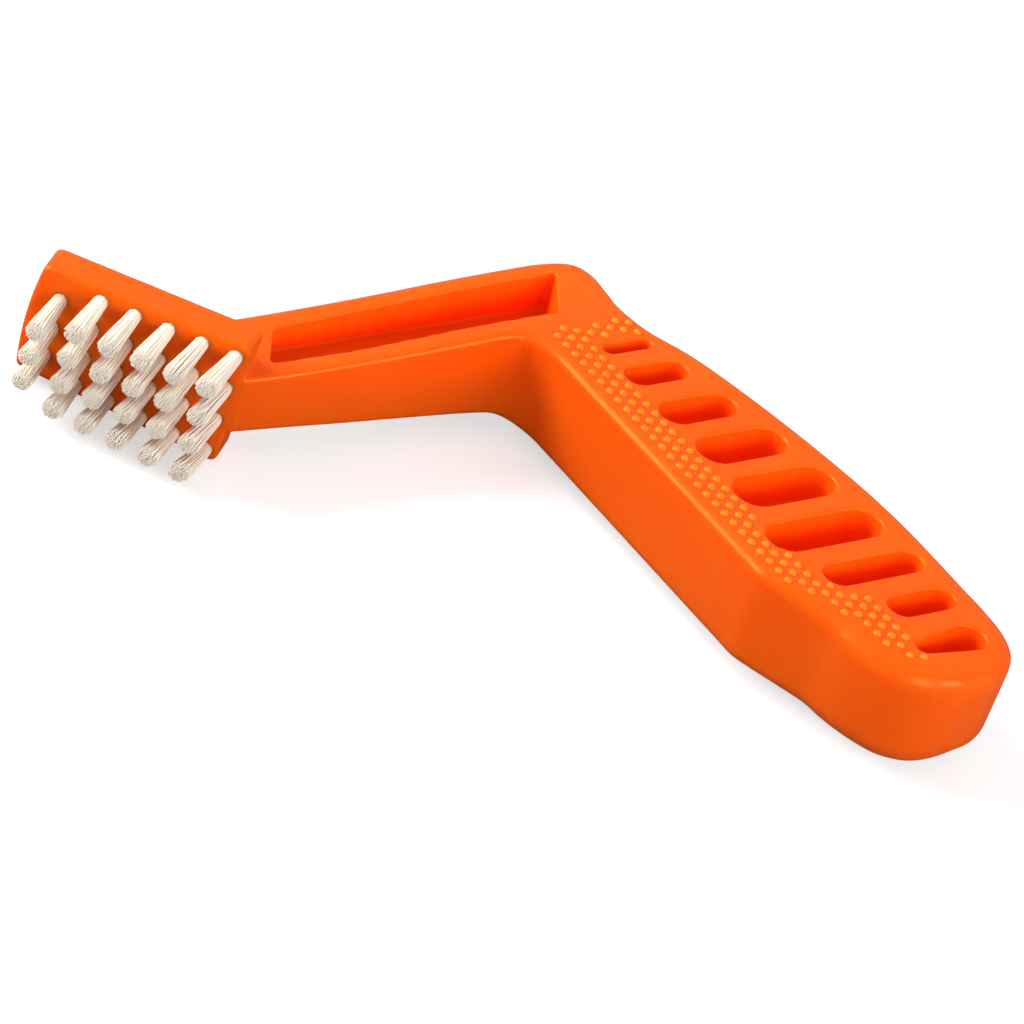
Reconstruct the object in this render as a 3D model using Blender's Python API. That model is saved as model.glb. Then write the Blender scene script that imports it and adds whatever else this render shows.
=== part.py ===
"""Pad conditioning brush: a one-piece moulded handle with a bent neck and a short bristle head.

The brush lies on its side, as it is put down on a bench. The side outline lies in X and Y:
the toe of the head is at low X, the pommel at high X, and the bristles point to -Y. Z is the
depth of the handle. The origin is under the middle of the whole brush, on the bench.
"""

import math

import bmesh
import bpy
from mathutils import Matrix, Vector

MM = 0.001

# Head
HEAD_LENGTH = 43.7 * MM
HEAD_THICKNESS = 8.2 * MM
TOE_WIDTH = 25.4 * MM
HEEL_WIDTH = 29.2 * MM
TOE_BULGE = 1.0 * MM
HEAD_EDGE = 1.0 * MM

# Neck
NECK_LENGTH = 66.0 * MM
NECK_WIDTH = 19.8 * MM
NECK_ROOT_DEPTH = 14.2 * MM
NECK_ANGLE = math.radians(47.5)
NECK_EDGE = 1.3 * MM

# Handle
HANDLE_LENGTH = 114.8 * MM
HANDLE_WIDTH = 39.8 * MM
HANDLE_DEPTH = 22.0 * MM
POMMEL_DEPTH = 23.6 * MM
HANDLE_ANGLE = math.radians(-33.9)
HANDLE_EDGE = 1.8 * MM
POMMEL_EDGE = 3.6 * MM
POMMEL_FRONT_EDGE = 5.0 * MM
POMMEL_ROUND = 6.0 * MM

# Pockets moulded into both sides, with a web left between them
WEB = 3.0 * MM
CHANNEL_CORNER = 1.6 * MM
SLOT_WIDTH = 9.0 * MM
SLOT_SLANT = math.radians(6.0)
POCKET_DRAFT = 0.35 * MM

# Bristle holes, and the tufts and flat wire anchors in them
HOLE_DIAMETER = 3.1 * MM
HOLE_DEPTH = 5.6 * MM
HOLE_MARGIN = 2.6 * MM
TOE_MARGIN = 5.0 * MM
BRISTLE_LENGTH = 12.9 * MM
STRAND_DIAMETER = 0.38 * MM
TUFT_SPREAD = 5.0 * MM
TUFT_LEAN = 0.6 * MM
ROOT_SEAT = 0.5 * MM
ANCHOR_THICKNESS = 0.45 * MM
ANCHOR_HEIGHT = 1.5 * MM
ANCHOR_BED = 0.9 * MM

CLEARANCE = 0.3 * MM
OVERRUN = 2.0 * MM

COLUMNS = 6
ROWS = 4
STRANDS = 18
STRAND_SIDES = 3
HOLE_SIDES = 10
TOE_STEPS = 6
RIM_STEPS = 2
CORNER_STEPS = 3
STATION_STEPS = 3
SLOT_END_STEPS = 6
ARC_STEPS = 4
GOLDEN_ANGLE = math.radians(137.508)

# Where the neck and handle are lofted. Each row gives, as shares of the length and width of
# its own stretch, where the front edge and the back edge lie, then how far the depth and the
# edge radius have gone from one end of the stretch to the other. The handle's rows end with
# the share of the pommel's end rounding by which the depth is drawn in.
NECK_STATION_SHARES = (
    (-0.020, 0.160, -0.150, 0.925, 0.00),
    (0.010, 0.015, -0.105, 0.940, 0.00),
    (0.045, 0.000, -0.070, 0.940, 0.00),
    (0.115, -0.008, 0.000, 0.912, 0.03),
    (0.215, -0.014, 0.120, 0.893, 0.10),
    (0.400, -0.018, 0.370, 0.910, 0.30),
    (0.600, -0.014, 0.610, 0.938, 0.52),
    (0.790, -0.006, 0.830, 0.968, 0.76),
    (0.890, -0.006, 1.060, 1.000, 0.90),
    (0.940, -0.024, 1.194, 1.006, 0.95),
)
HANDLE_STATION_SHARES = (
    (0.012, -0.054, -0.134, 0.547, 0.00, 0.00),
    (0.037, -0.024, -0.098, 0.600, 0.00, 0.00),
    (0.066, -0.005, -0.052, 0.594, 0.00, 0.00),
    (0.090, 0.000, -0.006, 0.584, 0.00, 0.00),
    (0.135, 0.000, 0.062, 0.622, 0.00, 0.00),
    (0.205, 0.000, 0.150, 0.735, 0.00, 0.00),
    (0.300, 0.000, 0.270, 0.832, 0.05, 0.00),
    (0.410, 0.000, 0.400, 0.912, 0.10, 0.00),
    (0.520, 0.000, 0.520, 0.968, 0.15, 0.00),
    (0.610, 0.000, 0.615, 0.994, 0.20, 0.00),
    (0.652, 0.001, 0.670, 1.000, 0.30, 0.00),
    (0.690, 0.034, 0.710, 1.000, 0.45, 0.00),
    (0.740, 0.083, 0.760, 0.999, 0.65, 0.00),
    (0.790, 0.128, 0.810, 0.997, 0.80, 0.00),
    (0.830, 0.137, 0.843, 0.998, 0.90, 0.00),
    (0.865, 0.153, 0.873, 0.994, 0.97, 0.00),
    (0.905, 0.190, 0.907, 0.985, 1.00, 0.00),
    (0.942, 0.245, 0.940, 0.960, 1.00, 0.02),
    (0.974, 0.342, 0.967, 0.918, 1.00, 0.11),
    (0.992, 0.450, 0.986, 0.840, 1.00, 0.36),
    (1.000, 0.550, 0.998, 0.730, 1.00, 0.74),
)

# The corners of the recess along the neck, as shares of the neck's length and width.
CHANNEL_CORNER_SHARES = (
    (0.122, 0.195),
    (0.400, 0.170),
    (0.750, 0.208),
    (1.125, 0.225),
    (1.214, 0.822),
    (0.205, 0.665),
)

# The slots of the handle, from the bend to the pommel. Each row gives how far along the handle
# the slot lies, where its front end is and how much is left between its back end and the
# handle's back edge, as shares of the handle's length and width, then how wide it is, as a
# share of the full slot width.
SLOT_SHARES = (
    (0.087, 0.270, 0.095, 0.344),
    (0.163, 0.255, 0.126, 0.656),
    (0.266, 0.253, 0.130, 0.789),
    (0.371, 0.266, 0.115, 0.922),
    (0.483, 0.253, 0.114, 1.011),
    (0.600, 0.200, 0.119, 0.956),
    (0.709, 0.306, 0.111, 0.711),
    (0.810, 0.475, 0.137, 0.689),
    (0.906, 0.424, 0.160, 0.789),
)

# How far the rounding of the head's corners reaches, against the radius of its rims. Then how
# much wider the gap behind the toe's column of tufts is than the others, and how much of a
# section's half width and half depth an edge radius may take up, as shares.
CORNER_TO_EDGE_SHARE = 1.8
TOE_GAP_SHARE = 1.085
ROOM_FOR_EDGES_SHARE = 0.91

ORANGE = (1.0, 0.14, 0.004, 1.0)
NYLON = (0.86, 0.80, 0.70, 1.0)
STEEL = (0.62, 0.62, 0.60, 1.0)


def clear_scene():
    for obj in list(bpy.data.objects):
        bpy.data.objects.remove(obj, do_unlink=True)


def make_collection(name):
    collection = bpy.data.collections.new(name)
    bpy.context.scene.collection.children.link(collection)
    return collection


def make_material(name, colour, roughness, metallic):
    material = bpy.data.materials.new(name)
    material.use_nodes = True
    shader = material.node_tree.nodes["Principled BSDF"]
    shader.inputs["Base Color"].default_value = colour
    shader.inputs["Roughness"].default_value = roughness
    shader.inputs["Metallic"].default_value = metallic
    return material


def make_object(name, mesh_builder, collection):
    """An object whose mesh is what the bmesh holds, with its faces turned outwards."""
    bmesh.ops.recalc_face_normals(mesh_builder, faces=mesh_builder.faces)
    mesh = bpy.data.meshes.new(name)
    mesh_builder.to_mesh(mesh)
    mesh_builder.free()
    obj = bpy.data.objects.new(name, mesh)
    collection.objects.link(obj)
    return obj


def make_cutter(name, mesh_builder, cutters):
    obj = make_object(name, mesh_builder, cutters)
    obj.hide_render = True
    obj.display_type = "WIRE"
    return obj


def add_boolean(obj, other, operation):
    modifier = obj.modifiers.new(f"{operation.lower()} {other.name}", "BOOLEAN")
    modifier.operation = operation
    modifier.solver = "EXACT"
    modifier.object = other


def direction(angle):
    return Vector((math.cos(angle), math.sin(angle)))


def stretch_point(start, angle, along, across):
    """A point of the side outline, from how far along and across a stretch it lies."""
    axis = direction(angle)
    back = Vector((-axis.y, axis.x))
    return start + axis * along + back * across


def heel_corner():
    """Where the bristle face ends and the front of the neck begins, in the side outline."""
    return Vector((HEAD_LENGTH, -HEAD_THICKNESS))


def bend_corner():
    return stretch_point(heel_corner(), NECK_ANGLE, NECK_LENGTH, 0.0)


def neck_point(along, across):
    return stretch_point(heel_corner(), NECK_ANGLE, along, across)


def handle_point(along, across):
    return stretch_point(bend_corner(), HANDLE_ANGLE, along, across)


def mix(low, high, share):
    return low + (high - low) * share


def stations():
    """The loft's sections as (front point, back point, half depth, front and back edge radius)."""
    found = []
    for front_along, front_across, back_along, back_across, grown in NECK_STATION_SHARES:
        front = neck_point(front_along * NECK_LENGTH, front_across * NECK_WIDTH)
        back = neck_point(back_along * NECK_LENGTH, back_across * NECK_WIDTH)
        half_depth = mix(NECK_ROOT_DEPTH, HANDLE_DEPTH, grown) / 2
        edge = mix(NECK_EDGE, HANDLE_EDGE, grown)
        found.append((front, back, half_depth, edge, edge))
    for *places, grown, drawn_in in HANDLE_STATION_SHARES:
        front_along, front_across, back_along, back_across = places
        front = handle_point(front_along * HANDLE_LENGTH, front_across * HANDLE_WIDTH)
        back = handle_point(back_along * HANDLE_LENGTH, back_across * HANDLE_WIDTH)
        half_depth = mix(HANDLE_DEPTH, POMMEL_DEPTH, grown) / 2 - drawn_in * POMMEL_ROUND
        front_edge = mix(HANDLE_EDGE, POMMEL_FRONT_EDGE, grown**2)
        back_edge = mix(HANDLE_EDGE, POMMEL_EDGE, grown)
        found.append((front, back, half_depth, front_edge, back_edge))
    return found


def smooth_value(before, first, second, after, t):
    """A Catmull-Rom curve through first and second, for numbers or vectors."""
    return (
        first * 2
        + (second - before) * t
        + (before * 2 - first * 5 + second * 4 - after) * t**2
        + (first * 3 - before - second * 3 + after) * t**3
    ) / 2


def smooth_stations(rows, steps):
    """The stations with more of them read from a smooth curve between each two."""
    found = []
    last = len(rows) - 1
    for i in range(last):
        around = [rows[max(i - 1, 0)], rows[i], rows[i + 1], rows[min(i + 2, last)]]
        for step in range(steps):
            t = step / steps
            found.append(tuple(smooth_value(*values, t) for values in zip(*around)))
    found.append(rows[last])
    return found


def rounded_section(front, back, half_depth, front_edge, back_edge):
    """The corners of a rounded rectangle that stands on the line from front to back."""
    width = (back - front).length
    across = (back - front) / width
    most = min(width / 2, half_depth) * ROOM_FOR_EDGES_SHARE
    near = min(front_edge, most)
    far = min(back_edge, most)
    corners = (
        (width - far, half_depth - far, far, 0),
        (near, half_depth - near, near, 1),
        (near, near - half_depth, near, 2),
        (width - far, far - half_depth, far, 3),
    )
    points = []
    for centre_across, centre_z, radius, quarter in corners:
        for step in range(CORNER_STEPS + 1):
            angle = (quarter + step / CORNER_STEPS) * math.pi / 2
            plan = front + across * (centre_across + radius * math.cos(angle))
            points.append(Vector((plan.x, plan.y, centre_z + radius * math.sin(angle))))
    return points


def loft(sections):
    """A closed skin over sections with the same number of points, with a face on each end."""
    builder = bmesh.new()
    rings = [[builder.verts.new(point) for point in section] for section in sections]
    count = len(rings[0])
    for ring, following in zip(rings, rings[1:]):
        for i in range(count):
            j = (i + 1) % count
            builder.faces.new((ring[i], ring[j], following[j], following[i]))
    builder.faces.new(rings[0])
    builder.faces.new(rings[-1])
    return builder


def prism(outline, low, high, shrink=0.0):
    """A closed prism on a plan outline, whose low end is drawn in by the draft."""
    centre = sum(outline, Vector((0.0, 0.0))) / len(outline)
    sections = []
    for z, inset in ((low, shrink), (high, 0.0)):
        ring = []
        for point in outline:
            away = point - centre
            moved = centre + away * max(1 - inset / away.length, 0.0)
            ring.append(Vector((moved.x, moved.y, z)))
        sections.append(ring)
    return loft(sections)


def join_into(builder, extra):
    """Adds one bmesh's faces to another and frees it."""
    mesh = bpy.data.meshes.new("joined")
    extra.to_mesh(mesh)
    extra.free()
    builder.from_mesh(mesh)
    bpy.data.meshes.remove(mesh)


def half_width_at(x):
    """Half the width of the head at a distance from the toe."""
    return mix(TOE_WIDTH, HEEL_WIDTH, x / HEAD_LENGTH) / 2


def cut_back(corner, other, radius):
    """How far a corner's rounding reaches towards the next corner."""
    away = other - corner
    return away.normalized() * min(radius, away.length / 2)


def rounded_outline(corners, radius):
    """An outline with each corner taken off by a short curve."""
    points = []
    count = len(corners)
    for i, corner in enumerate(corners):
        before = cut_back(corner, corners[i - 1], radius)
        after = cut_back(corner, corners[(i + 1) % count], radius)
        for step in range(ARC_STEPS):
            t = (step + 0.5) / ARC_STEPS
            points.append(corner + before * (1 - t) ** 2 + after * t**2)
    return points


def inset_outline(outline, inset):
    """An outline whose points have moved inwards, square to its sides."""
    centre = sum(outline, Vector((0.0, 0.0))) / len(outline)
    points = []
    for i, point in enumerate(outline):
        run = (outline[(i + 1) % len(outline)] - outline[i - 1]).normalized()
        inwards = Vector((-run.y, run.x))
        if inwards.dot(centre - point) < 0:
            inwards = -inwards
        points.append(point + inwards * inset)
    return points


def head_plan():
    """The head seen from its bristle face: a bowed toe, straight sides and a straight heel."""
    corners = []
    for i in range(TOE_STEPS + 1):
        share = mix(-1, 1, i / TOE_STEPS)
        corners.append(Vector((-TOE_BULGE * (1 - share**2), share * TOE_WIDTH / 2)))
    corners.append(Vector((HEAD_LENGTH, HEEL_WIDTH / 2)))
    corners.append(Vector((HEAD_LENGTH, -HEEL_WIDTH / 2)))
    return rounded_outline(corners, HEAD_EDGE * CORNER_TO_EDGE_SHARE)


def head_block(cutters):
    """The tapered plate that holds the bristles, with its rims rounded."""
    plan = head_plan()
    rims = []
    for step in range(RIM_STEPS + 1):
        angle = step / RIM_STEPS * math.pi / 2
        rims.append((HEAD_EDGE * (1 - math.cos(angle)), HEAD_EDGE * (1 - math.sin(angle))))
    levels = [(rise - HEAD_THICKNESS, inset) for rise, inset in rims]
    levels += [(-rise, inset) for rise, inset in reversed(rims)]
    sections = [
        [Vector((point.x, y, point.y)) for point in inset_outline(plan, inset)] for y, inset in levels
    ]
    return make_cutter("head_block", loft(sections), cutters)


def channel_outline():
    """The recess along the neck, as a rounded outline."""
    corners = [
        neck_point(along * NECK_LENGTH, across * NECK_WIDTH)
        for along, across in CHANNEL_CORNER_SHARES
    ]
    return rounded_outline(corners, CHANNEL_CORNER)


def handle_back_at(along):
    """How far the handle's back edge lies from its front line."""
    knots = [(row[2] * HANDLE_LENGTH, row[3] * HANDLE_WIDTH) for row in HANDLE_STATION_SHARES]
    for (low, low_across), (high, high_across) in zip(knots, knots[1:]):
        if low <= along <= high:
            return mix(low_across, high_across, (along - low) / (high - low))
    return knots[-1][1]


def slot_places():
    """Each slot as (how far along its middle is, front end, back end, width)."""
    places = []
    for along_share, front_share, margin_share, width_share in SLOT_SHARES:
        along = along_share * HANDLE_LENGTH
        back = handle_back_at(along) - margin_share * HANDLE_WIDTH
        places.append((along, front_share * HANDLE_WIDTH, back, width_share * SLOT_WIDTH))
    return places


def slot_outline(along, front, back, width):
    """A slanting slot with straight sides and half-round ends."""
    middle = (front + back) / 2
    radius = width / 2
    points = []
    for half_turn, end in enumerate((back - radius, front + radius)):
        for step in range(SLOT_END_STEPS + 1):
            angle = (half_turn + step / SLOT_END_STEPS) * math.pi
            across = end + radius * math.sin(angle)
            lean = math.tan(SLOT_SLANT) * (across - middle)
            points.append(handle_point(along + lean + radius * math.cos(angle), across))
    return points


def pocket_cutters(cutters):
    """The slots and the neck's channel, sunk from both sides down to the web."""
    builder = bmesh.new()
    reach = max(HANDLE_DEPTH, POMMEL_DEPTH) / 2 + OVERRUN
    outlines = [slot_outline(*place) for place in slot_places()]
    outlines.append(channel_outline())
    for outline in outlines:
        for side in (1, -1):
            join_into(builder, prism(outline, side * WEB / 2, side * reach, POCKET_DRAFT))
    return make_cutter("pocket_cutters", builder, cutters)


def tuft_places():
    """(x, z) of each tuft on the bristle face, column by column from the toe."""
    heel_column = HEAD_LENGTH - HOLE_MARGIN
    column_pitch = (heel_column - TOE_MARGIN) / (COLUMNS - 2 + TOE_GAP_SHARE)
    places = []
    for column in range(COLUMNS):
        x = heel_column - column_pitch * (COLUMNS - 1 - column)
        rows = ROWS
        if column == 0:
            x = TOE_MARGIN
            rows = ROWS - 1
        row_pitch = 2 * (half_width_at(x) - HOLE_MARGIN) / (ROWS - 1)
        for row in range(rows):
            places.append((x, (row - (rows - 1) / 2) * row_pitch))
    return places


def cylinder(builder, radius, sides, low, high):
    """A cylinder along Y, from low to high."""
    turned = Matrix.Translation((0.0, (low + high) / 2, 0.0)) @ Matrix.Rotation(math.pi / 2, 4, "X")
    bmesh.ops.create_cone(
        builder,
        cap_ends=True,
        segments=sides,
        radius1=radius,
        radius2=radius,
        depth=high - low,
        matrix=turned,
    )


def box(builder, centre, size):
    placed = Matrix.Translation(centre) @ Matrix.Diagonal((*size, 1.0))
    bmesh.ops.create_cube(builder, size=1.0, matrix=placed)


def hole_cutters(cutters):
    builder = bmesh.new()
    face = -HEAD_THICKNESS
    for x, z in tuft_places():
        hole = bmesh.new()
        cylinder(hole, HOLE_DIAMETER / 2, HOLE_SIDES, face - OVERRUN, face + HOLE_DEPTH)
        bmesh.ops.translate(hole, verts=hole.verts, vec=(x, 0.0, z))
        join_into(builder, hole)
    return make_cutter("hole_cutters", builder, cutters)


def handle_body(parts, cutters):
    sections = [rounded_section(*row) for row in smooth_stations(stations(), STATION_STEPS)]
    body = make_object("handle_body", loft(sections), parts)
    add_boolean(body, head_block(cutters), "UNION")
    add_boolean(body, pocket_cutters(cutters), "DIFFERENCE")
    add_boolean(body, hole_cutters(cutters), "DIFFERENCE")
    return body


def root_radius():
    return HOLE_DIAMETER / 2 - CLEARANCE


def anchor_middle():
    """How high an anchor's middle lies, in the part's Y."""
    return HOLE_DEPTH - HEAD_THICKNESS - CLEARANCE - ANCHOR_BED - CLEARANCE - ANCHOR_HEIGHT / 2


def strand_bundle(name, lean_x, lean_z, cutters):
    """The strands of one tuft, spreading evenly from the root so that none meet."""
    builder = bmesh.new()
    strand_radius = STRAND_DIAMETER / 2
    packed = root_radius() - strand_radius
    spread = TUFT_SPREAD / 2 - strand_radius
    top = -HEAD_THICKNESS + ROOT_SEAT
    tip = -HEAD_THICKNESS - BRISTLE_LENGTH
    seated = ROOT_SEAT / BRISTLE_LENGTH
    for i in range(STRANDS):
        share = math.sqrt((i + 0.5) / STRANDS)
        ray = direction(i * GOLDEN_ANGLE) * share
        sections = []
        for y, opened in ((top, -seated), (tip, 1.0)):
            radius = mix(packed, spread, opened)
            centre = Vector((ray.x * radius + lean_x * opened, y, ray.y * radius + lean_z * opened))
            ring = []
            for side in range(STRAND_SIDES):
                corner = direction(i + 2 * math.pi * side / STRAND_SIDES) * strand_radius
                ring.append(centre + Vector((corner.x, 0.0, corner.y)))
            sections.append(ring)
        join_into(builder, loft(sections))
    return make_cutter(name, builder, cutters)


def tuft(number, x, z, parts, cutters):
    """One tuft: its root in the hole, with a window for the anchor, and its strands."""
    builder = bmesh.new()
    bottom = HOLE_DEPTH - HEAD_THICKNESS - CLEARANCE
    cylinder(builder, root_radius(), HOLE_SIDES, -HEAD_THICKNESS, bottom)
    obj = make_object(f"tuft_{number:02d}", builder, parts)
    window = bmesh.new()
    gap = 2 * CLEARANCE
    box(
        window,
        (0.0, anchor_middle(), 0.0),
        (ANCHOR_THICKNESS + gap, ANCHOR_HEIGHT + gap, HOLE_DIAMETER + OVERRUN),
    )
    lean_z = TUFT_LEAN * z / (half_width_at(x) - HOLE_MARGIN)
    lean_x = TUFT_LEAN * (x - HEAD_LENGTH / 2) / (HEAD_LENGTH / 2) / 2
    strands = strand_bundle(f"strands_{number:02d}", lean_x, lean_z, cutters)
    add_boolean(obj, make_cutter(f"window_{number:02d}", window, cutters), "DIFFERENCE")
    add_boolean(obj, strands, "UNION")
    for piece in (obj, strands, bpy.data.objects[f"window_{number:02d}"]):
        piece.location = (x, 0.0, z)
    return obj


def anchor(number, x, z, parts):
    """The flat wire that each tuft is folded over."""
    builder = bmesh.new()
    size = (ANCHOR_THICKNESS, ANCHOR_HEIGHT, HOLE_DIAMETER - 2 * CLEARANCE)
    box(builder, (0.0, anchor_middle(), 0.0), size)
    obj = make_object(f"anchor_{number:02d}", builder, parts)
    obj.location = (x, 0.0, z)
    return obj


def finish(obj, material, sharp_angle):
    obj.data.materials.append(material)
    obj.data.shade_smooth()
    obj.data.set_sharp_from_angle(angle=sharp_angle)


def stand_on_origin(pieces, root):
    """Moves the whole brush so that the middle of its underside is the origin."""
    bpy.context.view_layer.update()
    graph = bpy.context.evaluated_depsgraph_get()
    corners = []
    for obj in pieces:
        evaluated = obj.evaluated_get(graph)
        corners += [evaluated.matrix_world @ vert.co for vert in evaluated.data.vertices]
    low = Vector([min(corner[i] for corner in corners) for i in range(3)])
    high = Vector([max(corner[i] for corner in corners) for i in range(3)])
    root.location = (-(low.x + high.x) / 2, -(low.y + high.y) / 2, -low.z)


def main():
    clear_scene()
    parts = make_collection("pad_conditioning_brush")
    cutters = make_collection("cutters")
    plastic = make_material("orange_plastic", ORANGE, 0.38, 0.0)
    nylon = make_material("nylon_bristle", NYLON, 0.5, 0.0)
    steel = make_material("anchor_wire", STEEL, 0.35, 1.0)

    body = handle_body(parts, cutters)
    finish(body, plastic, math.radians(35))
    pieces = [body]
    for number, (x, z) in enumerate(tuft_places(), 1):
        bundle = tuft(number, x, z, parts, cutters)
        finish(bundle, nylon, math.radians(30))
        wire = anchor(number, x, z, parts)
        finish(wire, steel, math.radians(30))
        pieces += [bundle, wire]

    root = bpy.data.objects.new("brush_origin", None)
    parts.objects.link(root)
    for obj in [*parts.objects, *cutters.objects]:
        if obj is not root:
            obj.parent = root
    stand_on_origin(pieces, root)


main()
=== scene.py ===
import math
import random

import bmesh
import bpy
from mathutils import Matrix, Vector
from mathutils.bvhtree import BVHTree


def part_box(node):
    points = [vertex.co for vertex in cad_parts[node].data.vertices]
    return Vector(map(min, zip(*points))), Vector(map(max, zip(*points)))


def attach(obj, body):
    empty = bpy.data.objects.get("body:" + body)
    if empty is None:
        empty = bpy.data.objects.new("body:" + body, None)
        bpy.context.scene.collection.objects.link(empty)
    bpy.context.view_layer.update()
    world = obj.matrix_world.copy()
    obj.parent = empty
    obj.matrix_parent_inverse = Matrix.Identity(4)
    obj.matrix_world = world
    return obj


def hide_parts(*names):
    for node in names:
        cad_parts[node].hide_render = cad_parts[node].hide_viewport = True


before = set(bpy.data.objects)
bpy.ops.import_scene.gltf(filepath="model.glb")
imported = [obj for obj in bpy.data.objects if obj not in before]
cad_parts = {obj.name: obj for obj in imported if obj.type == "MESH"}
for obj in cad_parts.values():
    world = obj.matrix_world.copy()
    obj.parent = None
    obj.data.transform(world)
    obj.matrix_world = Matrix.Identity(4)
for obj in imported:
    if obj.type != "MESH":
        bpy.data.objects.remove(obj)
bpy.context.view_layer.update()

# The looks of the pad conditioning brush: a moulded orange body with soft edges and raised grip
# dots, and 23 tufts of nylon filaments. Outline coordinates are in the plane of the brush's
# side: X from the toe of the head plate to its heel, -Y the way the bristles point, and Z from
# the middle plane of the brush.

MM = 0.001

# Head
HEAD_LENGTH = 43.7 * MM
HEAD_THICKNESS = 8.2 * MM
TOE_WIDTH = 25.4 * MM
HEEL_WIDTH = 29.2 * MM
TOE_BULGE = 1.0 * MM
HEAD_EDGE = 1.0 * MM

# Neck
NECK_LENGTH = 66.0 * MM
NECK_WIDTH = 19.8 * MM
NECK_ROOT_DEPTH = 14.2 * MM
NECK_ANGLE = math.radians(47.5)
NECK_EDGE = 1.3 * MM

# Handle
HANDLE_LENGTH = 114.8 * MM
HANDLE_WIDTH = 39.8 * MM
HANDLE_DEPTH = 22.0 * MM
POMMEL_DEPTH = 23.6 * MM
HANDLE_ANGLE = math.radians(-33.9)
HANDLE_EDGE = 1.8 * MM
POMMEL_EDGE = 3.6 * MM
POMMEL_FRONT_EDGE = 5.0 * MM
POMMEL_ROUND = 6.0 * MM

# Pockets
WEB = 3.0 * MM
CHANNEL_CORNER = 1.6 * MM
SLOT_WIDTH = 9.0 * MM
SLOT_SLANT = math.radians(6.0)
POCKET_DRAFT = 0.35 * MM
OVERRUN = 2.0 * MM

# Bristle holes and tufts
HOLE_DIAMETER = 3.1 * MM
HOLE_DEPTH = 5.6 * MM
HOLE_MARGIN = 2.6 * MM
TOE_MARGIN = 5.0 * MM
HOLE_CLEARANCE = 0.3 * MM
BRISTLE_LENGTH = 12.9 * MM
COLUMNS = 6
ROWS = 4

# How finely the moulding is drawn: steps of its curves, then the remesh that softens its edges
TOE_STEPS = 12
RIM_STEPS = 5
STATION_STEPS = 8
CORNER_STEPS = 8
SLOT_END_STEPS = 16
ARC_STEPS = 8
HOLE_SIDES = 28
VOXEL = 0.36 * MM
SMOOTH_PASSES = 5
DECIMATE_SHARE = 0.32
HOLE_RIM_ANGLE = math.radians(50.0)

# The sections of the neck, from the head to the bend. Each row gives the front point and the back
# point, each as a place along and across the neck in shares of its length and width, then how
# much of the growth from the neck's depth and edge radius to the handle's is done there.
NECK_STATION_SHARES = (
    (-0.020, 0.160, -0.150, 0.925, 0.00),
    (0.010, 0.015, -0.105, 0.940, 0.00),
    (0.045, 0.000, -0.070, 0.940, 0.00),
    (0.115, -0.008, 0.000, 0.912, 0.03),
    (0.215, -0.014, 0.120, 0.893, 0.10),
    (0.400, -0.018, 0.370, 0.910, 0.30),
    (0.600, -0.014, 0.610, 0.938, 0.52),
    (0.790, -0.006, 0.830, 0.968, 0.76),
    (0.890, -0.006, 1.060, 1.000, 0.90),
    (0.940, -0.024, 1.194, 1.006, 0.95),
)
# The sections of the handle, from the bend to the pommel, in the same way: places in shares of the
# handle's length and width, the growth to the pommel's depth and edge radii, and last how far the
# side faces are drawn in, as a share of POMMEL_ROUND.
HANDLE_STATION_SHARES = (
    (0.012, -0.054, -0.134, 0.547, 0.00, 0.00),
    (0.037, -0.024, -0.098, 0.600, 0.00, 0.00),
    (0.066, -0.005, -0.052, 0.594, 0.00, 0.00),
    (0.090, 0.000, -0.006, 0.584, 0.00, 0.00),
    (0.135, 0.000, 0.062, 0.622, 0.00, 0.00),
    (0.205, 0.000, 0.150, 0.735, 0.00, 0.00),
    (0.300, 0.000, 0.270, 0.832, 0.05, 0.00),
    (0.410, 0.000, 0.400, 0.912, 0.10, 0.00),
    (0.520, 0.000, 0.520, 0.968, 0.15, 0.00),
    (0.610, 0.000, 0.615, 0.994, 0.20, 0.00),
    (0.652, 0.001, 0.670, 1.000, 0.30, 0.00),
    (0.690, 0.034, 0.710, 1.000, 0.45, 0.00),
    (0.740, 0.083, 0.760, 0.999, 0.65, 0.00),
    (0.790, 0.128, 0.810, 0.997, 0.80, 0.00),
    (0.830, 0.137, 0.843, 0.998, 0.90, 0.00),
    (0.865, 0.153, 0.873, 0.994, 0.97, 0.00),
    (0.905, 0.190, 0.907, 0.985, 1.00, 0.00),
    (0.942, 0.245, 0.940, 0.960, 1.00, 0.02),
    (0.974, 0.342, 0.967, 0.918, 1.00, 0.11),
    (0.992, 0.450, 0.986, 0.840, 1.00, 0.36),
    (1.000, 0.550, 0.998, 0.730, 1.00, 0.74),
)

# The corners of the neck's recess, as shares of the neck's length and width
CHANNEL_CORNER_SHARES = (
    (0.122, 0.195),
    (0.400, 0.170),
    (0.750, 0.208),
    (1.125, 0.225),
    (1.214, 0.822),
    (0.205, 0.665),
)

# The slots of the handle, from the bend to the pommel. Each row gives how far along the handle
# the slot lies, where its front end is and how much is left between its back end and the
# handle's back edge, as shares of the handle's length and width, then how wide it is, as a
# share of the full slot width.
SLOT_SHARES = (
    (0.087, 0.270, 0.095, 0.344),
    (0.163, 0.255, 0.126, 0.656),
    (0.266, 0.253, 0.130, 0.789),
    (0.371, 0.266, 0.115, 0.922),
    (0.483, 0.253, 0.114, 1.011),
    (0.600, 0.200, 0.119, 0.956),
    (0.709, 0.306, 0.111, 0.711),
    (0.810, 0.475, 0.137, 0.689),
    (0.906, 0.424, 0.160, 0.789),
)

# How far the rounding of the head's corners reaches, against the radius of its rims. Then how
# much wider the gap behind the toe's column of tufts is than the others, how narrow the last
# slot's front end is, and how much of a section's half width and half depth an edge radius may
# take up, as shares.
CORNER_TO_EDGE_SHARE = 1.8
TOE_GAP_SHARE = 1.085
LAST_SLOT_NOSE_SHARE = 0.55
ROOM_FOR_EDGES_SHARE = 0.91

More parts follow.
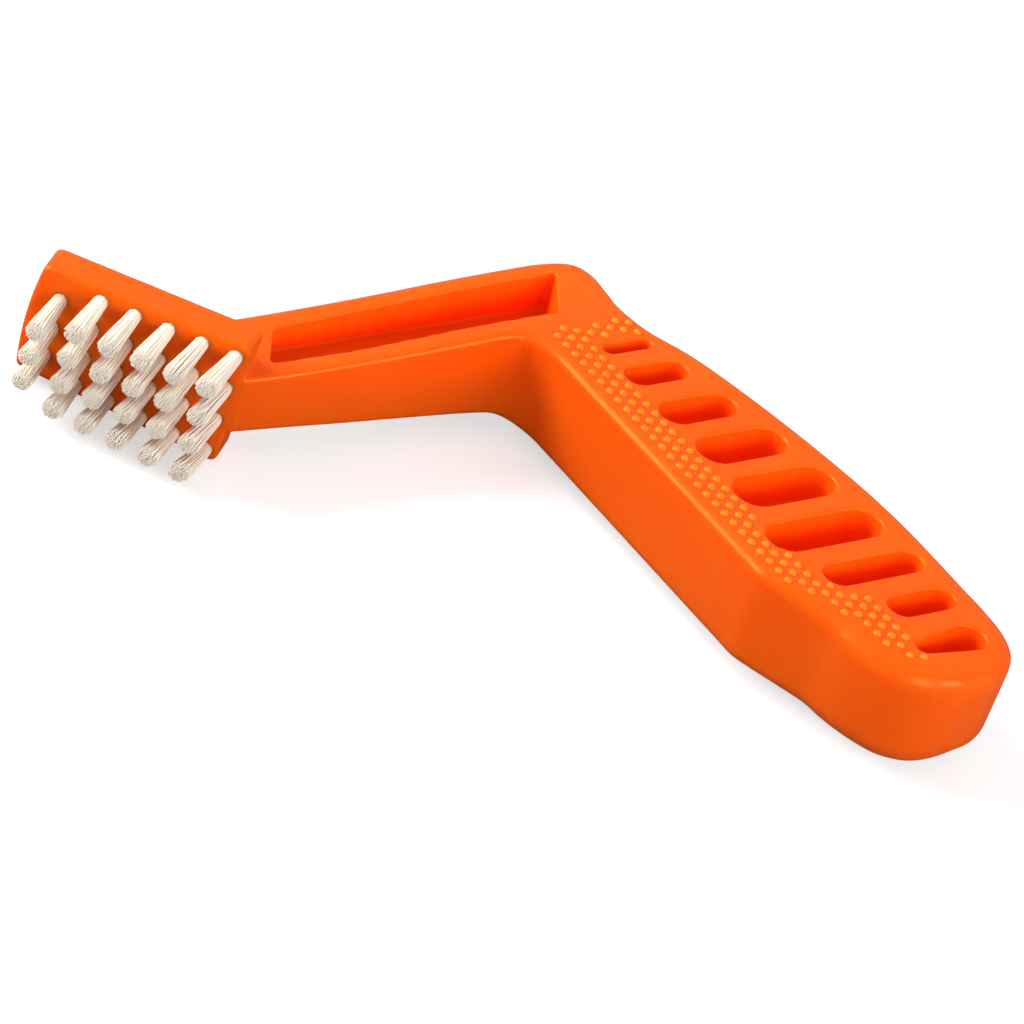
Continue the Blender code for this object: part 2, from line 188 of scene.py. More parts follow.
# Grip dots. The shares say how far along the handle the field goes, and how its first rows start
# later the farther they lie from the front edge. A dot stands only where the face is level: its
# normal is at least LEVEL_NORMAL upright, and the face within DOT_MARGIN of the dot, looked at in
# FLAT_PROBES directions, is no higher or lower than FLAT_SHARE of that margin.
DOT_PITCH = 2.9 * MM
DOT_DIAMETER = 1.9 * MM
DOT_HEIGHT = 0.6 * MM
DOT_SINK = 0.12 * MM
DOT_MARGIN = 1.1 * MM
DOTTED_SHARE = 0.93
DOT_START_SHARE = 0.14
DOT_SIDES = 10
DOT_RINGS = 3
DOT_COLUMNS_BEFORE = 2
LEVEL_NORMAL = 0.985
FLAT_PROBES = 8
FLAT_SHARE = 0.15

# Filaments. The lengths of the lean, the trim, the dome and the scatter are at the tips.
FILAMENTS = 180
FILAMENT_DIAMETER = 0.28 * MM
FILAMENT_SIDES = 4
FILAMENT_STEPS = 5
TUFT_ROOT_DIAMETER = 3.05 * MM
TUFT_TIP_DIAMETER = 4.8 * MM
ROOT_SINK = 1.6 * MM
TUFT_LEAN_ALONG = 1.7 * MM
TUFT_LEAN_ACROSS = 1.2 * MM
TOE_LEAN = 0.2 * MM
TRIMMED = 0.4 * MM
TIP_DOME = 0.9 * MM
TIP_SCATTER = 0.11 * MM
LENGTH_SCATTER = 0.22 * MM
BOW_SHARE = 0.6
TIP_THICKNESS_SHARE = 0.75
DOME_POWER = 3
SPREAD_POWER = 1.15
GOLDEN_ANGLE = math.radians(137.508)
RANDOM_SEED = 7

# Camera: the point of the outline's plane that it looks at, where it looks from, how far it is
# turned about its own axis, and its lens
CAMERA_AIM = Vector((0.101027, -0.001684, 0.0))
CAMERA_AZIMUTH = math.radians(-5.766)
CAMERA_ELEVATION = math.radians(37.997)
CAMERA_ROLL = math.radians(20.764)
CAMERA_DISTANCE = 1.16203
CAMERA_LENS = 210.94
CAMERA_NEAR = 0.05
CAMERA_FAR = 20.0
SENSOR = 36.0

# Orange plastic of the body and of its grip dots: the two shades that the clouds mix, and how much
# of the light goes in and comes out again. The dots' shades are lighter than the body's as a
# painted highlight: the dots are the same plastic, and the lighter colour stands for the light
# that the raised dots catch.
BODY_ORANGE = ((1.0, 0.104, 0.002, 1), (1.0, 0.120, 0.003, 1))
BODY_DEPTH = 0.75
DOT_PAINTED_HIGHLIGHT_ORANGE = ((1.0, 0.19, 0.010, 1), (1.0, 0.23, 0.014, 1))
DOT_DEPTH = 0.0
ORANGE_SCATTER = (1.0, 0.08, 0.02)
ORANGE_SCATTER_LENGTH = 7.0 * MM
SKIN_GLOSS = 0.5
SKIN_GLOSS_TINT = (1.0, 0.72, 0.16, 1)
CLOUD_SCALE = 45.0
CLOUD_DETAIL = 3.0
GRAIN_SCALE = 2600.0
GRAIN_DETAIL = 2.0
RAMP_PLACES = (0.3, 0.7)
PLASTIC_ROUGHNESS = (0.28, 0.38)
GRAIN_STRENGTH = 0.25
GRAIN_HEIGHT = 0.04 * MM

# Nylon and wire: two shades each, the streaks and the roughness
NYLON_SHADES = ((1.0, 0.86, 0.70, 1), (1.0, 0.94, 0.84, 1))
NYLON_STREAK_SCALE = 900.0
NYLON_STREAK_DETAIL = 2.0
NYLON_ROUGHNESS = (0.34, 0.52)
NYLON_DEPTH = 0.1
NYLON_SCATTER = (1.0, 0.8, 0.7)
NYLON_SCATTER_LENGTH = 0.3 * MM
WIRE_SHADES = ((0.52, 0.52, 0.50, 1), (0.68, 0.68, 0.66, 1))
WIRE_STREAK_SCALE = 1800.0
WIRE_STREAK_DETAIL = 3.0
WIRE_ROUGHNESS = (0.25, 0.4)

# Floor and sky: the first value is for light that bounces, the second for what the camera sees
FLOOR_HALF = 4.0
FLOOR_SHADES = (0.16, 0.55)
FLOOR_GLOW = (0.0, 0.58)
FLOOR_ROUGHNESS = 0.8
FLOOR_GLOSS = 0.1
SKY_LEVELS = (0.4, 1.0)

# Lamps, all aimed at the floor under the middle of the brush: name, place, size, power in watts
# and colour
WHITE = (1.0, 1.0, 1.0)
LAMPS = (
    ("left", (-1.0, -0.26, 0.55), 0.5, 9.5, (1.0, 0.99, 0.97)),
    ("left_high", (-0.8, 0.2, 0.75), 0.4, 7.0, WHITE),
    ("right", (1.0, -0.3, 0.42), 0.5, 5.0, WHITE),
    ("front", (0.6, -0.9, 0.5), 0.5, 5.0, WHITE),
)


def new_object(name, mesh):
    obj = bpy.data.objects.new(name, mesh)
    bpy.context.scene.collection.objects.link(obj)
    return obj


def mesh_object(name, builder):
    bmesh.ops.recalc_face_normals(builder, faces=builder.faces)
    mesh = bpy.data.meshes.new(name)
    builder.to_mesh(mesh)
    builder.free()
    return new_object(name, mesh)


def outline_origin():
    """Where the toe's back corner lies in the frame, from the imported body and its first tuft."""
    body_low, body_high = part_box("handle_body")
    _, tuft_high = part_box("tuft_01")
    back = tuft_high[1] + HEAD_THICKNESS - HOLE_DEPTH + HOLE_CLEARANCE
    return Vector((body_low[0] + TOE_BULGE, back, (body_low[2] + body_high[2]) / 2))


ORIGIN = outline_origin()


def direction(angle):
    return Vector((math.cos(angle), math.sin(angle)))


def stretch_point(start, angle, along, across):
    axis = direction(angle)
    back = Vector((-axis.y, axis.x))
    return start + axis * along + back * across


def neck_point(along, across):
    return stretch_point(Vector((HEAD_LENGTH, -HEAD_THICKNESS)), NECK_ANGLE, along, across)


def handle_point(along, across):
    return stretch_point(neck_point(NECK_LENGTH, 0.0), HANDLE_ANGLE, along, across)


def mix(low, high, share):
    return low + (high - low) * share


def stations():
    """The loft's sections as (front point, back point, half depth, front and back edge radius)."""
    found = []
    for front_along, front_across, back_along, back_across, grown in NECK_STATION_SHARES:
        front = neck_point(front_along * NECK_LENGTH, front_across * NECK_WIDTH)
        back = neck_point(back_along * NECK_LENGTH, back_across * NECK_WIDTH)
        half_depth = mix(NECK_ROOT_DEPTH, HANDLE_DEPTH, grown) / 2
        edge = mix(NECK_EDGE, HANDLE_EDGE, grown)
        found.append((front, back, half_depth, edge, edge))
    for *places, grown, drawn_in in HANDLE_STATION_SHARES:
        front_along, front_across, back_along, back_across = places
        front = handle_point(front_along * HANDLE_LENGTH, front_across * HANDLE_WIDTH)
        back = handle_point(back_along * HANDLE_LENGTH, back_across * HANDLE_WIDTH)
        half_depth = mix(HANDLE_DEPTH, POMMEL_DEPTH, grown) / 2 - drawn_in * POMMEL_ROUND
        front_edge = mix(HANDLE_EDGE, POMMEL_FRONT_EDGE, grown**2)
        back_edge = mix(HANDLE_EDGE, POMMEL_EDGE, grown)
        found.append((front, back, half_depth, front_edge, back_edge))
    return found


def smooth_value(before, first, second, after, t):
    """A Catmull-Rom curve through first and second, for numbers or vectors."""
    return (
        first * 2
        + (second - before) * t
        + (before * 2 - first * 5 + second * 4 - after) * t**2
        + (first * 3 - before - second * 3 + after) * t**3
    ) / 2


def smooth_stations(rows, steps):
    found = []
    last = len(rows) - 1
    for i in range(last):
        around = [rows[max(i - 1, 0)], rows[i], rows[i + 1], rows[min(i + 2, last)]]
        for step in range(steps):
            found.append(tuple(smooth_value(*values, step / steps) for values in zip(*around)))
    found.append(rows[last])
    return found


def rounded_section(front, back, half_depth, front_edge, back_edge):
    """The corners of a rounded rectangle that stands on the line from front to back."""
    width = (back - front).length
    across = (back - front) / width
    most = min(width / 2, half_depth) * ROOM_FOR_EDGES_SHARE
    near = min(front_edge, most)
    far = min(back_edge, most)
    corners = (
        (width - far, half_depth - far, far, 0),
        (near, half_depth - near, near, 1),
        (near, near - half_depth, near, 2),
        (width - far, far - half_depth, far, 3),
    )
    points = []
    for centre_across, centre_z, radius, quarter in corners:
        for step in range(CORNER_STEPS + 1):
            angle = (quarter + step / CORNER_STEPS) * math.pi / 2
            plan = front + across * (centre_across + radius * math.cos(angle))
            points.append(Vector((plan.x, plan.y, centre_z + radius * math.sin(angle))))
    return points


def loft(sections):
    """A closed skin over sections with the same number of points, with a face on each end."""
    builder = bmesh.new()
    rings = [[builder.verts.new(point) for point in section] for section in sections]
    count = len(rings[0])
    for ring, following in zip(rings, rings[1:]):
        for i in range(count):
            j = (i + 1) % count
            builder.faces.new((ring[i], ring[j], following[j], following[i]))
    builder.faces.new(rings[0])
    builder.faces.new(rings[-1])
    return builder


def prism(outline, low, high, shrink):
    """A closed prism on a plan outline, whose low end is drawn in by the draft."""
    centre = sum(outline, Vector((0.0, 0.0))) / len(outline)
    sections = []
    for z, inset in ((low, shrink), (high, 0.0)):
        ring = []
        for point in outline:
            away = point - centre
            moved = centre + away * (1 - inset / away.length)
            ring.append(Vector((moved.x, moved.y, z)))
        sections.append(ring)
    return loft(sections)


def join_into(builder, extra):
    mesh = bpy.data.meshes.new("joined")
    extra.to_mesh(mesh)
    extra.free()
    builder.from_mesh(mesh)
    bpy.data.meshes.remove(mesh)


def half_width_at(x):
    """Half the width of the head at a distance from the toe."""
    return mix(TOE_WIDTH, HEEL_WIDTH, x / HEAD_LENGTH) / 2


def cut_back(corner, other, radius):
    """How far a corner's rounding reaches towards the next corner."""
    away = other - corner
    return away.normalized() * min(radius, away.length / 2)


def rounded_outline(corners, radius):
    """An outline with each corner taken off by a short curve."""
    points = []
    count = len(corners)
    for i, corner in enumerate(corners):
        before = cut_back(corner, corners[i - 1], radius)
        after = cut_back(corner, corners[(i + 1) % count], radius)
        for step in range(ARC_STEPS):
            t = (step + 0.5) / ARC_STEPS
            points.append(corner + before * (1 - t) ** 2 + after * t**2)
    return points


def inset_outline(outline, inset):
    """An outline whose points have moved inwards, square to its sides."""
    centre = sum(outline, Vector((0.0, 0.0))) / len(outline)
    points = []
    for i, point in enumerate(outline):
        run = (outline[(i + 1) % len(outline)] - outline[i - 1]).normalized()
        inwards = Vector((-run.y, run.x))
        if inwards.dot(centre - point) < 0:
            inwards = -inwards
        points.append(point + inwards * inset)
    return points


def head_plan():
    """The head seen from its bristle face: a bowed toe, straight sides and a straight heel."""
    corners = []
    for i in range(TOE_STEPS + 1):
        share = mix(-1, 1, i / TOE_STEPS)
        corners.append(Vector((-TOE_BULGE * (1 - share**2), share * TOE_WIDTH / 2)))
    corners.append(Vector((HEAD_LENGTH, HEEL_WIDTH / 2)))
    corners.append(Vector((HEAD_LENGTH, -HEEL_WIDTH / 2)))
    return rounded_outline(corners, HEAD_EDGE * CORNER_TO_EDGE_SHARE)


def head_block():
    """The tapered plate that holds the bristles, with its rims rounded."""
    plan = head_plan()
    rims = []
    for step in range(RIM_STEPS + 1):
        angle = step / RIM_STEPS * math.pi / 2
        rims.append((HEAD_EDGE * (1 - math.cos(angle)), HEAD_EDGE * (1 - math.sin(angle))))
    levels = [(rise - HEAD_THICKNESS, inset) for rise, inset in rims]
    levels += [(-rise, inset) for rise, inset in reversed(rims)]
    sections = []
    for y, inset in levels:
        sections.append([Vector((point.x, y, point.y)) for point in inset_outline(plan, inset)])
    return loft(sections)


def channel_outline():
    """The recess along the neck, as a rounded outline."""
    corners = [
        neck_point(along * NECK_LENGTH, across * NECK_WIDTH)
        for along, across in CHANNEL_CORNER_SHARES
    ]
    return rounded_outline(corners, CHANNEL_CORNER)


def handle_back_at(along):
    """How far the handle's back edge lies from its front line."""
    knots = [(row[2] * HANDLE_LENGTH, row[3] * HANDLE_WIDTH) for row in HANDLE_STATION_SHARES]
    for (low, low_across), (high, high_across) in zip(knots, knots[1:]):
        if low <= along <= high:
            return mix(low_across, high_across, (along - low) / (high - low))
    return knots[-1][1]


def slot_places():
    """Each slot as (middle's place along, front end, back end, front width, back width)."""
    places = []
    for along_share, front_share, margin_share, width_share in SLOT_SHARES:
        along = along_share * HANDLE_LENGTH
        back = handle_back_at(along) - margin_share * HANDLE_WIDTH
        width = width_share * SLOT_WIDTH
        nose = LAST_SLOT_NOSE_SHARE if along_share == SLOT_SHARES[-1][0] else 1.0
        places.append((along, front_share * HANDLE_WIDTH, back, width * nose, width))
    return places


def slot_outline(along, front, back, front_width, back_width):
    """A slanting slot with straight sides and half-round ends."""
    middle = (front + back) / 2
    ends = (
        (back - back_width / 2, back_width / 2),
        (front + front_width / 2, front_width / 2),
    )
    points = []
    for half_turn, (end, radius) in enumerate(ends):
        for step in range(SLOT_END_STEPS + 1):
            angle = (half_turn + step / SLOT_END_STEPS) * math.pi
            across = end + radius * math.sin(angle)
            lean = math.tan(SLOT_SLANT) * (across - middle)
            points.append(handle_point(along + lean + radius * math.cos(angle), across))
    return points


def pocket_cutters():
    """The slots and the neck's channel, sunk from both sides down to the web."""
    builder = bmesh.new()
    reach = max(HANDLE_DEPTH, POMMEL_DEPTH) / 2 + OVERRUN
    outlines = [slot_outline(*place) for place in slot_places()]
    outlines.append(channel_outline())
    for outline in outlines:
        for side in (1, -1):
            join_into(builder, prism(outline, side * WEB / 2, side * reach, POCKET_DRAFT))
    return builder


def tuft_places():
    """(x, z) of each tuft on the bristle face, column by column from the toe."""
    heel_column = HEAD_LENGTH - HOLE_MARGIN
    column_pitch = (heel_column - TOE_MARGIN) / (COLUMNS - 2 + TOE_GAP_SHARE)
    places = []
    for column in range(COLUMNS):
        x = heel_column - column_pitch * (COLUMNS - 1 - column)
        rows = ROWS
        if column == 0:
            x = TOE_MARGIN
            rows = ROWS - 1
        row_pitch = 2 * (half_width_at(x) - HOLE_MARGIN) / (ROWS - 1)
        for row in range(rows):
            places.append((x, (row - (rows - 1) / 2) * row_pitch))
    return places


def hole_cutters():
    builder = bmesh.new()
    for x, z in tuft_places():
        hole = bmesh.new()
        turned = Matrix.Rotation(math.pi / 2, 4, "X")
        bmesh.ops.create_cone(
            hole,
            cap_ends=True,
            segments=HOLE_SIDES,
            radius1=HOLE_DIAMETER / 2,
            radius2=HOLE_DIAMETER / 2,
            depth=HOLE_DEPTH + OVERRUN,
            matrix=turned,
        )
        middle = -HEAD_THICKNESS + (HOLE_DEPTH - OVERRUN) / 2
        bmesh.ops.translate(hole, verts=hole.verts, vec=(x, middle, z))
        join_into(builder, hole)
    return builder


def add_boolean(obj, other, operation):
    modifier = obj.modifiers.new(operation.lower(), "BOOLEAN")
    modifier.operation = operation
    modifier.solver = "EXACT"
    modifier.object = other


def applied(obj, name):
    """A new object with the mesh that obj's modifiers give, and obj removed."""
    bpy.context.view_layer.update()
    graph = bpy.context.evaluated_depsgraph_get()
    mesh = bpy.data.meshes.new_from_object(obj.evaluated_get(graph))
    mesh.name = name
    bpy.data.objects.remove(obj, do_unlink=True)
    return new_object(name, mesh)


def moulded_body():
    """The body with the soft edges of a moulding: cut sharp, remeshed finely and smoothed.

    The bristle holes are cut last, so that their rims stay round and crisp.
    """
    sections = [rounded_section(*row) for row in smooth_stations(stations(), STATION_STEPS)]
    rough = mesh_object("body_rough", loft(sections))
    helpers = [
        (mesh_object("head_block", head_block()), "UNION"),
        (mesh_object("pockets", pocket_cutters()), "DIFFERENCE"),
    ]
    for helper, operation in helpers:
        add_boolean(rough, helper, operation)
    cut = applied(rough, "body_cut")
    for helper, _ in helpers:
        bpy.data.objects.remove(helper, do_unlink=True)

    remesh = cut.modifiers.new("remesh", "REMESH")
    remesh.mode = "VOXEL"
    remesh.voxel_size = VOXEL
    smooth = cut.modifiers.new("smooth", "SMOOTH")
    smooth.factor = 0.5
    smooth.iterations = SMOOTH_PASSES
    decimate = cut.modifiers.new("decimate", "DECIMATE")
    decimate.ratio = DECIMATE_SHARE
    soft = applied(cut, "body_soft")

    holes = mesh_object("holes", hole_cutters())
    add_boolean(soft, holes, "DIFFERENCE")
    body = applied(soft, "brush_body")
    bpy.data.objects.remove(holes, do_unlink=True)
    body.data.shade_smooth()
    body.data.set_sharp_from_angle(angle=HOLE_RIM_ANGLE)
    return body


def surface_finder(body):
    """A function that gives the height and normal of the body's side face at a plan point."""
    tree = BVHTree.FromPolygons(
        [vert.co.copy() for vert in body.data.vertices],
        [tuple(polygon.vertices) for polygon in body.data.polygons],
    )
    above = POMMEL_DEPTH

    def find(point, side):
        start = Vector((point.x, point.y, side * above))
        hit, normal, _, _ = tree.ray_cast(start, Vector((0.0, 0.0, -side)))
        return hit, normal

    return find


def flat_here(find, point, side, reach):
    """The surface point where a dot may stand, or None if it isn't flat for reach around."""
    hit, normal = find(point, side)
    if hit is None or normal.z * side < LEVEL_NORMAL:
        return None
    for i in range(FLAT_PROBES):
        near, _ = find(point + direction(2 * math.pi * i / FLAT_PROBES) * reach, side)
        if near is None or abs(near.z - hit.z) > reach * FLAT_SHARE:
            return None
    return hit


def dot_field():
    """Plan points of the dots: rows that follow the handle's front edge, staggered."""
    slots = slot_places()
    points = []
    row_pitch = DOT_PITCH * math.sqrt(3) / 2
    rows = int(HANDLE_WIDTH / row_pitch)
    columns = int(HANDLE_LENGTH / DOT_PITCH)
    for row in range(rows):
        for column in range(-DOT_COLUMNS_BEFORE, columns):
            along = (column + 0.5 * (row % 2)) * DOT_PITCH
            across = HANDLE_EDGE + DOT_DIAMETER + row * row_pitch
            if dotted(along, across, slots):
                points.append(handle_point(along, across))
    return points


def dotted(along, across, slots):
    """Whether the grip's dots cover this place: the margin in front of the slots."""
    limit = slots[0][2] if along < slots[0][0] else slots[-1][1]
    for (low, low_front, *_), (high, high_front, *_) in zip(slots, slots[1:]):
        if low <= along < high:
            limit = mix(low_front, high_front, (along - low) / (high - low))
    first = across * DOT_START_SHARE
    return across < limit and first <= along < HANDLE_LENGTH * DOTTED_SHARE


def dome(builder, centre, side):
    """A shallow round-topped dot on the side face."""
    rings = []
    for ring in range(DOT_RINGS):
        rise = math.sin(ring / DOT_RINGS * math.pi / 2)
        radius = DOT_DIAMETER / 2 * math.cos(ring / DOT_RINGS * math.pi / 2)
        z = centre.z + side * (rise * (DOT_HEIGHT + DOT_SINK) - DOT_SINK)
        rings.append([
            builder.verts.new((
                centre.x + radius * math.cos(2 * math.pi * i / DOT_SIDES),
                centre.y + radius * math.sin(2 * math.pi * i / DOT_SIDES),
                z,
            ))
            for i in range(DOT_SIDES)
        ])
    top = builder.verts.new((centre.x, centre.y, centre.z + side * DOT_HEIGHT))
    for ring, following in zip(rings, rings[1:]):
        for i in range(DOT_SIDES):
            j = (i + 1) % DOT_SIDES
            builder.faces.new((ring[i], ring[j], following[j], following[i]))
    for i in range(DOT_SIDES):
        builder.faces.new((rings[-1][i], rings[-1][(i + 1) % DOT_SIDES], top))
    builder.faces.new(rings[0])


def grip_dots(body):
    find = surface_finder(body)
    builder = bmesh.new()
    for point in dot_field():
        for side in (1, -1):
            hit = flat_here(find, point, side, DOT_MARGIN)
            if hit is not None:
                dome(builder, hit, side)
    dots = mesh_object("grip_dots", builder)
    dots.data.shade_smooth()
    return dots


def filament(builder, points, radius):
    """A thin tube along points, narrowing a little to a rounded tip."""
    sections = []
    befores = points[:1] + points
    afters = points[1:] + points[-1:]
    for i, (point, before, after) in enumerate(zip(points, befores, afters)):
        along = (after - before).normalized()
        side = along.cross(Vector((0.0, 0.0, 1.0))).normalized()
        up = side.cross(along)
        size = radius * (TIP_THICKNESS_SHARE if i == len(points) - 1 else 1.0)
        sections.append([
            point
            + side * size * math.cos(2 * math.pi * k / FILAMENT_SIDES)
            + up * size * math.sin(2 * math.pi * k / FILAMENT_SIDES)
            for k in range(FILAMENT_SIDES)
        ])
    join_into(builder, loft(sections))


def tuft_mesh(number, x, z, rng):
    """One tuft of filaments that leave the hole together and spread to their tips."""
    builder = bmesh.new()
    lean_z = -TUFT_LEAN_ACROSS * z / (half_width_at(x) - HOLE_MARGIN)
    lean_x = -TOE_LEAN - TUFT_LEAN_ALONG * x / HEAD_LENGTH
    turn = rng.uniform(0, 2 * math.pi)
    root_reach = TUFT_ROOT_DIAMETER / 2 - FILAMENT_DIAMETER / 2
    tip_reach = TUFT_TIP_DIAMETER / 2 - FILAMENT_DIAMETER / 2
    for i in range(FILAMENTS):
        share = math.sqrt((i + 0.5) / FILAMENTS)
        ray = direction(turn + i * GOLDEN_ANGLE) * share
        length = BRISTLE_LENGTH - TRIMMED - TIP_DOME * share**DOME_POWER
        length -= abs(rng.gauss(0, 1)) * LENGTH_SCATTER
        scatter = Vector((rng.gauss(0, 1), rng.gauss(0, 1))) * TIP_SCATTER
        bow = Vector((rng.gauss(0, 1), rng.gauss(0, 1))) * TIP_SCATTER * BOW_SHARE
        points = []
        for step in range(FILAMENT_STEPS + 1):
            t = step / FILAMENT_STEPS
            y = mix(-HEAD_THICKNESS + ROOT_SINK, -HEAD_THICKNESS - length, t)
            opened = max(0.0, (-HEAD_THICKNESS - y) / BRISTLE_LENGTH)
            reach = mix(root_reach, tip_reach, opened**SPREAD_POWER)
            plan = ray * reach + scatter * opened**2 + bow * math.sin(math.pi * opened)
            points.append(Vector((
                x + plan.x + lean_x * opened,
                y,
                z + plan.y + lean_z * opened,
            )))
        filament(builder, points, FILAMENT_DIAMETER / 2)
    tuft = mesh_object(f"bristles_{number:02d}", builder)
    tuft.data.shade_smooth()
    return tuft


def nodes_of(material):
    material.use_nodes = True
    tree = material.node_tree
    return tree, tree.nodes["Principled BSDF"]


def noise(tree, scale, detail, coordinates):
    texture = tree.nodes.new("ShaderNodeTexNoise")
    texture.inputs["Scale"].default_value = scale
    texture.inputs["Detail"].default_value = detail
    tree.links.new(coordinates, texture.inputs["Vector"])
    return texture


def colour_between(tree, shader, source, places, shades):
    """Colours the shader from one shade to the other as the source goes from place to place."""
    ramp = tree.nodes.new("ShaderNodeValToRGB")
    for element, place, shade in zip(ramp.color_ramp.elements, places, shades):
        element.position = place
        element.color = shade
    tree.links.new(source, ramp.inputs["Fac"])
    tree.links.new(ramp.outputs["Color"], shader.inputs["Base Color"])


def link_mapped(tree, source, low, high, socket):
    """Gives a socket a value that goes from low to high as the source goes from 0 to 1."""
    ranged = tree.nodes.new("ShaderNodeMapRange")
    ranged.inputs["To Min"].default_value = low
    ranged.inputs["To Max"].default_value = high
    tree.links.new(source, ranged.inputs["Value"])
    tree.links.new(ranged.outputs["Result"], socket)


def add_bump(tree, shader, height, strength, distance):
    bump = tree.nodes.new("ShaderNodeBump")
    bump.inputs["Strength"].default_value = strength
    bump.inputs["Distance"].default_value = distance
    tree.links.new(height, bump.inputs["Height"])
    tree.links.new(bump.outputs["Normal"], shader.inputs["Normal"])


def orange_plastic(name, shades, depth):
    """Moulded orange plastic: a satin skin with a fine grain, flow clouds and some depth."""
    material = bpy.data.materials.new(name)
    tree, shader = nodes_of(material)
    place = tree.nodes.new("ShaderNodeTexCoord").outputs["Object"]
    clouds = noise(tree, CLOUD_SCALE, CLOUD_DETAIL, place).outputs["Fac"]
    grain = noise(tree, GRAIN_SCALE, GRAIN_DETAIL, place).outputs["Fac"]
    colour_between(tree, shader, clouds, RAMP_PLACES, shades)
    link_mapped(tree, grain, *PLASTIC_ROUGHNESS, shader.inputs["Roughness"])
    add_bump(tree, shader, grain, GRAIN_STRENGTH, GRAIN_HEIGHT)
    shader.inputs["Subsurface Weight"].default_value = depth
    shader.inputs["Subsurface Radius"].default_value = ORANGE_SCATTER
    shader.inputs["Subsurface Scale"].default_value = ORANGE_SCATTER_LENGTH
    shader.inputs["Specular IOR Level"].default_value = SKIN_GLOSS
    shader.inputs["Specular Tint"].default_value = SKIN_GLOSS_TINT
    return material


def nylon():
    """Natural nylon filament: cream, a little translucent, each strand its own shade."""
    material = bpy.data.materials.new("nylon_looks")
    tree, shader = nodes_of(material)
    strand = tree.nodes.new("ShaderNodeNewGeometry").outputs["Random Per Island"]
    place = tree.nodes.new("ShaderNodeTexCoord").outputs["Object"]
    streak = noise(tree, NYLON_STREAK_SCALE, NYLON_STREAK_DETAIL, place).outputs["Fac"]
    colour_between(tree, shader, strand, (0.0, 1.0), NYLON_SHADES)
    link_mapped(tree, streak, *NYLON_ROUGHNESS, shader.inputs["Roughness"])
    shader.inputs["Subsurface Weight"].default_value = NYLON_DEPTH
    shader.inputs["Subsurface Radius"].default_value = NYLON_SCATTER
    shader.inputs["Subsurface Scale"].default_value = NYLON_SCATTER_LENGTH
    return material


def wire_steel():
    """Drawn steel wire with fine lengthwise streaks."""
    material = bpy.data.materials.new("wire_looks")
    tree, shader = nodes_of(material)
    place = tree.nodes.new("ShaderNodeTexCoord").outputs["Object"]
    streak = noise(tree, WIRE_STREAK_SCALE, WIRE_STREAK_DETAIL, place).outputs["Fac"]
    colour_between(tree, shader, streak, RAMP_PLACES, WIRE_SHADES)
    link_mapped(tree, streak, *WIRE_ROUGHNESS, shader.inputs["Roughness"])
    shader.inputs["Metallic"].default_value = 1.0
    return material


def white_floor():
    """A pale floor that shows white to the camera, keeps the shadow and bounces little light."""
    material = bpy.data.materials.new("floor_looks")
    tree, shader = nodes_of(material)
    seen = tree.nodes.new("ShaderNodeLightPath").outputs["Is Camera Ray"]
    link_mapped(tree, seen, *FLOOR_SHADES, shader.inputs["Base Color"])
    link_mapped(tree, seen, *FLOOR_GLOW, shader.inputs["Emission Strength"])
    shader.inputs["Emission Color"].default_value = (1, 1, 1, 1)
    shader.inputs["Roughness"].default_value = FLOOR_ROUGHNESS
    shader.inputs["Specular IOR Level"].default_value = FLOOR_GLOSS
    return material


def place_piece(piece, slot, *replaced):
    """Puts a piece that was made in outline coordinates into the frame."""
    piece.data.transform(Matrix.Translation(ORIGIN))
    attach(piece, "root")
    if replaced:
        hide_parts(*replaced)


def make_floor():
    builder = bmesh.new()
    bmesh.ops.create_grid(builder, x_segments=1, y_segments=1, size=FLOOR_HALF)
    floor = mesh_object("floor", builder)
    floor.data.materials.append(white_floor())


def area_light(name, place, size, power, colour):
    data = bpy.data.lights.new(name, "AREA")
    data.shape = "DISK"
    data.size = size
    data.energy = power
    data.color = colour
    lamp = bpy.data.objects.new(name, data)
    bpy.context.scene.collection.objects.link(lamp)
    lamp.location = place
    lamp.rotation_euler = (-Vector(place)).to_track_quat("-Z", "Y").to_euler()


def make_world():
    world = bpy.data.worlds.new("studio")
    bpy.context.scene.world = world
    world.use_nodes = True
    tree = world.node_tree
    background = tree.nodes["Background"]
    background.inputs["Color"].default_value = (1, 1, 1, 1)
    seen = tree.nodes.new("ShaderNodeLightPath").outputs["Is Camera Ray"]
    link_mapped(tree, seen, *SKY_LEVELS, background.inputs["Strength"])


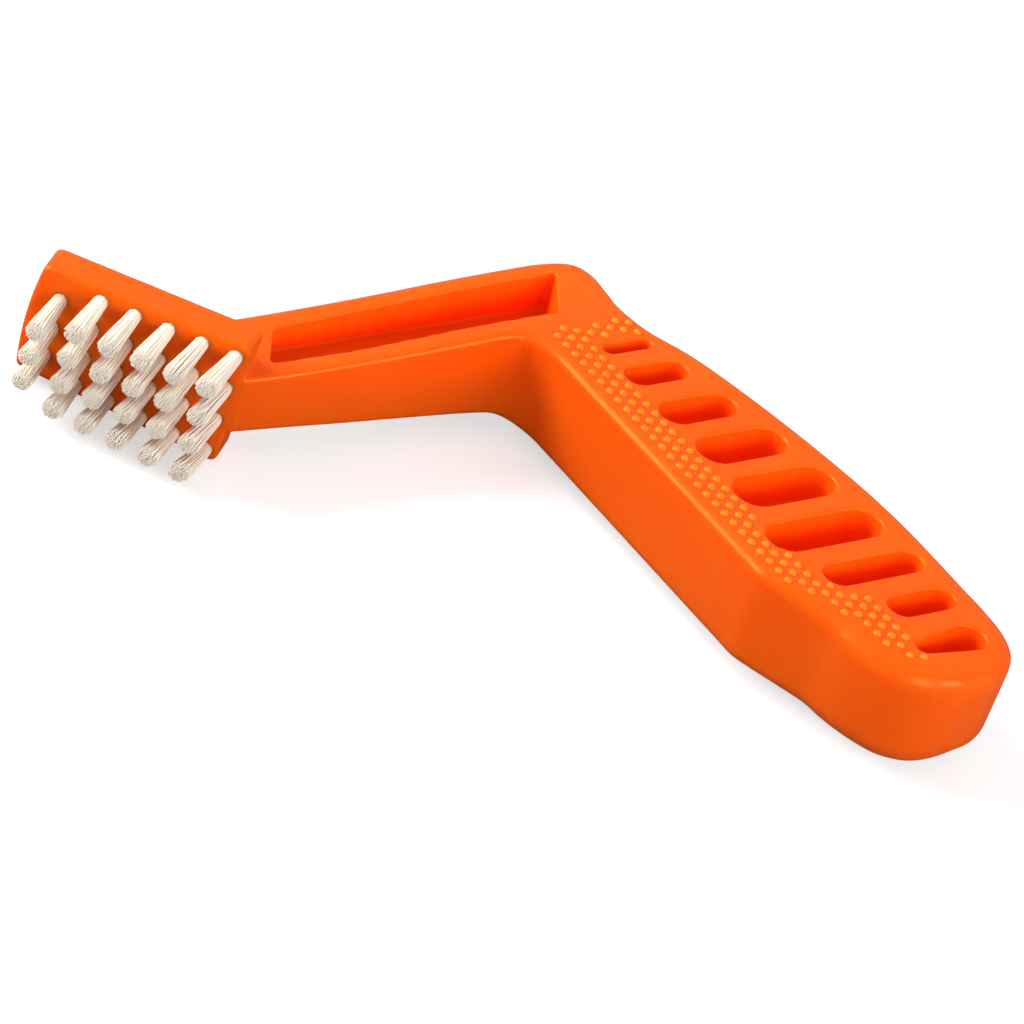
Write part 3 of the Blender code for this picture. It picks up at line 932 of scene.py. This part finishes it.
def make_camera():
    """The camera on the side of the bristles, above the brush and rolled about its own axis."""
    data = bpy.data.cameras.new("camera")
    data.sensor_width = SENSOR
    data.lens = CAMERA_LENS
    data.clip_start = CAMERA_NEAR
    data.clip_end = CAMERA_FAR
    camera = bpy.data.objects.new("camera", data)
    bpy.context.scene.collection.objects.link(camera)
    back = Vector((
        -math.sin(CAMERA_AZIMUTH) * math.cos(CAMERA_ELEVATION),
        -math.cos(CAMERA_AZIMUTH) * math.cos(CAMERA_ELEVATION),
        math.sin(CAMERA_ELEVATION),
    ))
    level = Vector((math.cos(CAMERA_AZIMUTH), -math.sin(CAMERA_AZIMUTH), 0.0))
    upright = back.cross(level)
    right = level * math.cos(CAMERA_ROLL) + upright * math.sin(CAMERA_ROLL)
    up = upright * math.cos(CAMERA_ROLL) - level * math.sin(CAMERA_ROLL)
    place = ORIGIN + CAMERA_AIM + back * CAMERA_DISTANCE
    camera.matrix_world = Matrix((
        (right.x, up.x, back.x, place.x),
        (right.y, up.y, back.y, place.y),
        (right.z, up.z, back.z, place.z),
        (0, 0, 0, 1),
    ))
    bpy.context.scene.camera = camera


def main():
    plastic = orange_plastic("orange_plastic_looks", BODY_ORANGE, BODY_DEPTH)
    # The grip dots get a lighter copy of the body's plastic, a painted highlight for the light the
    # raised dots catch.
    dot_painted_highlight_plastic = orange_plastic("grip_dot_painted_highlight_looks", DOT_PAINTED_HIGHLIGHT_ORANGE, DOT_DEPTH)
    strands = nylon()
    wire = wire_steel()

    body = moulded_body()
    body.data.materials.append(plastic)
    dots = grip_dots(body)
    dots.data.materials.append(dot_painted_highlight_plastic)
    place_piece(body, "orange_plastic", "handle_body")
    place_piece(dots, "orange_plastic")

    rng = random.Random(RANDOM_SEED)
    for number, (x, z) in enumerate(tuft_places(), 1):
        tuft = tuft_mesh(number, x, z, rng)
        tuft.data.materials.append(strands)
        place_piece(tuft, "nylon_bristle", f"tuft_{number:02d}")
        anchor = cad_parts[f"anchor_{number:02d}"]
        for slot in anchor.material_slots:
            slot.material = wire

    make_floor()
    for lamp in LAMPS:
        area_light(*lamp)
    make_world()
    make_camera()
    bpy.context.scene.view_settings.view_transform = "Standard"


main()
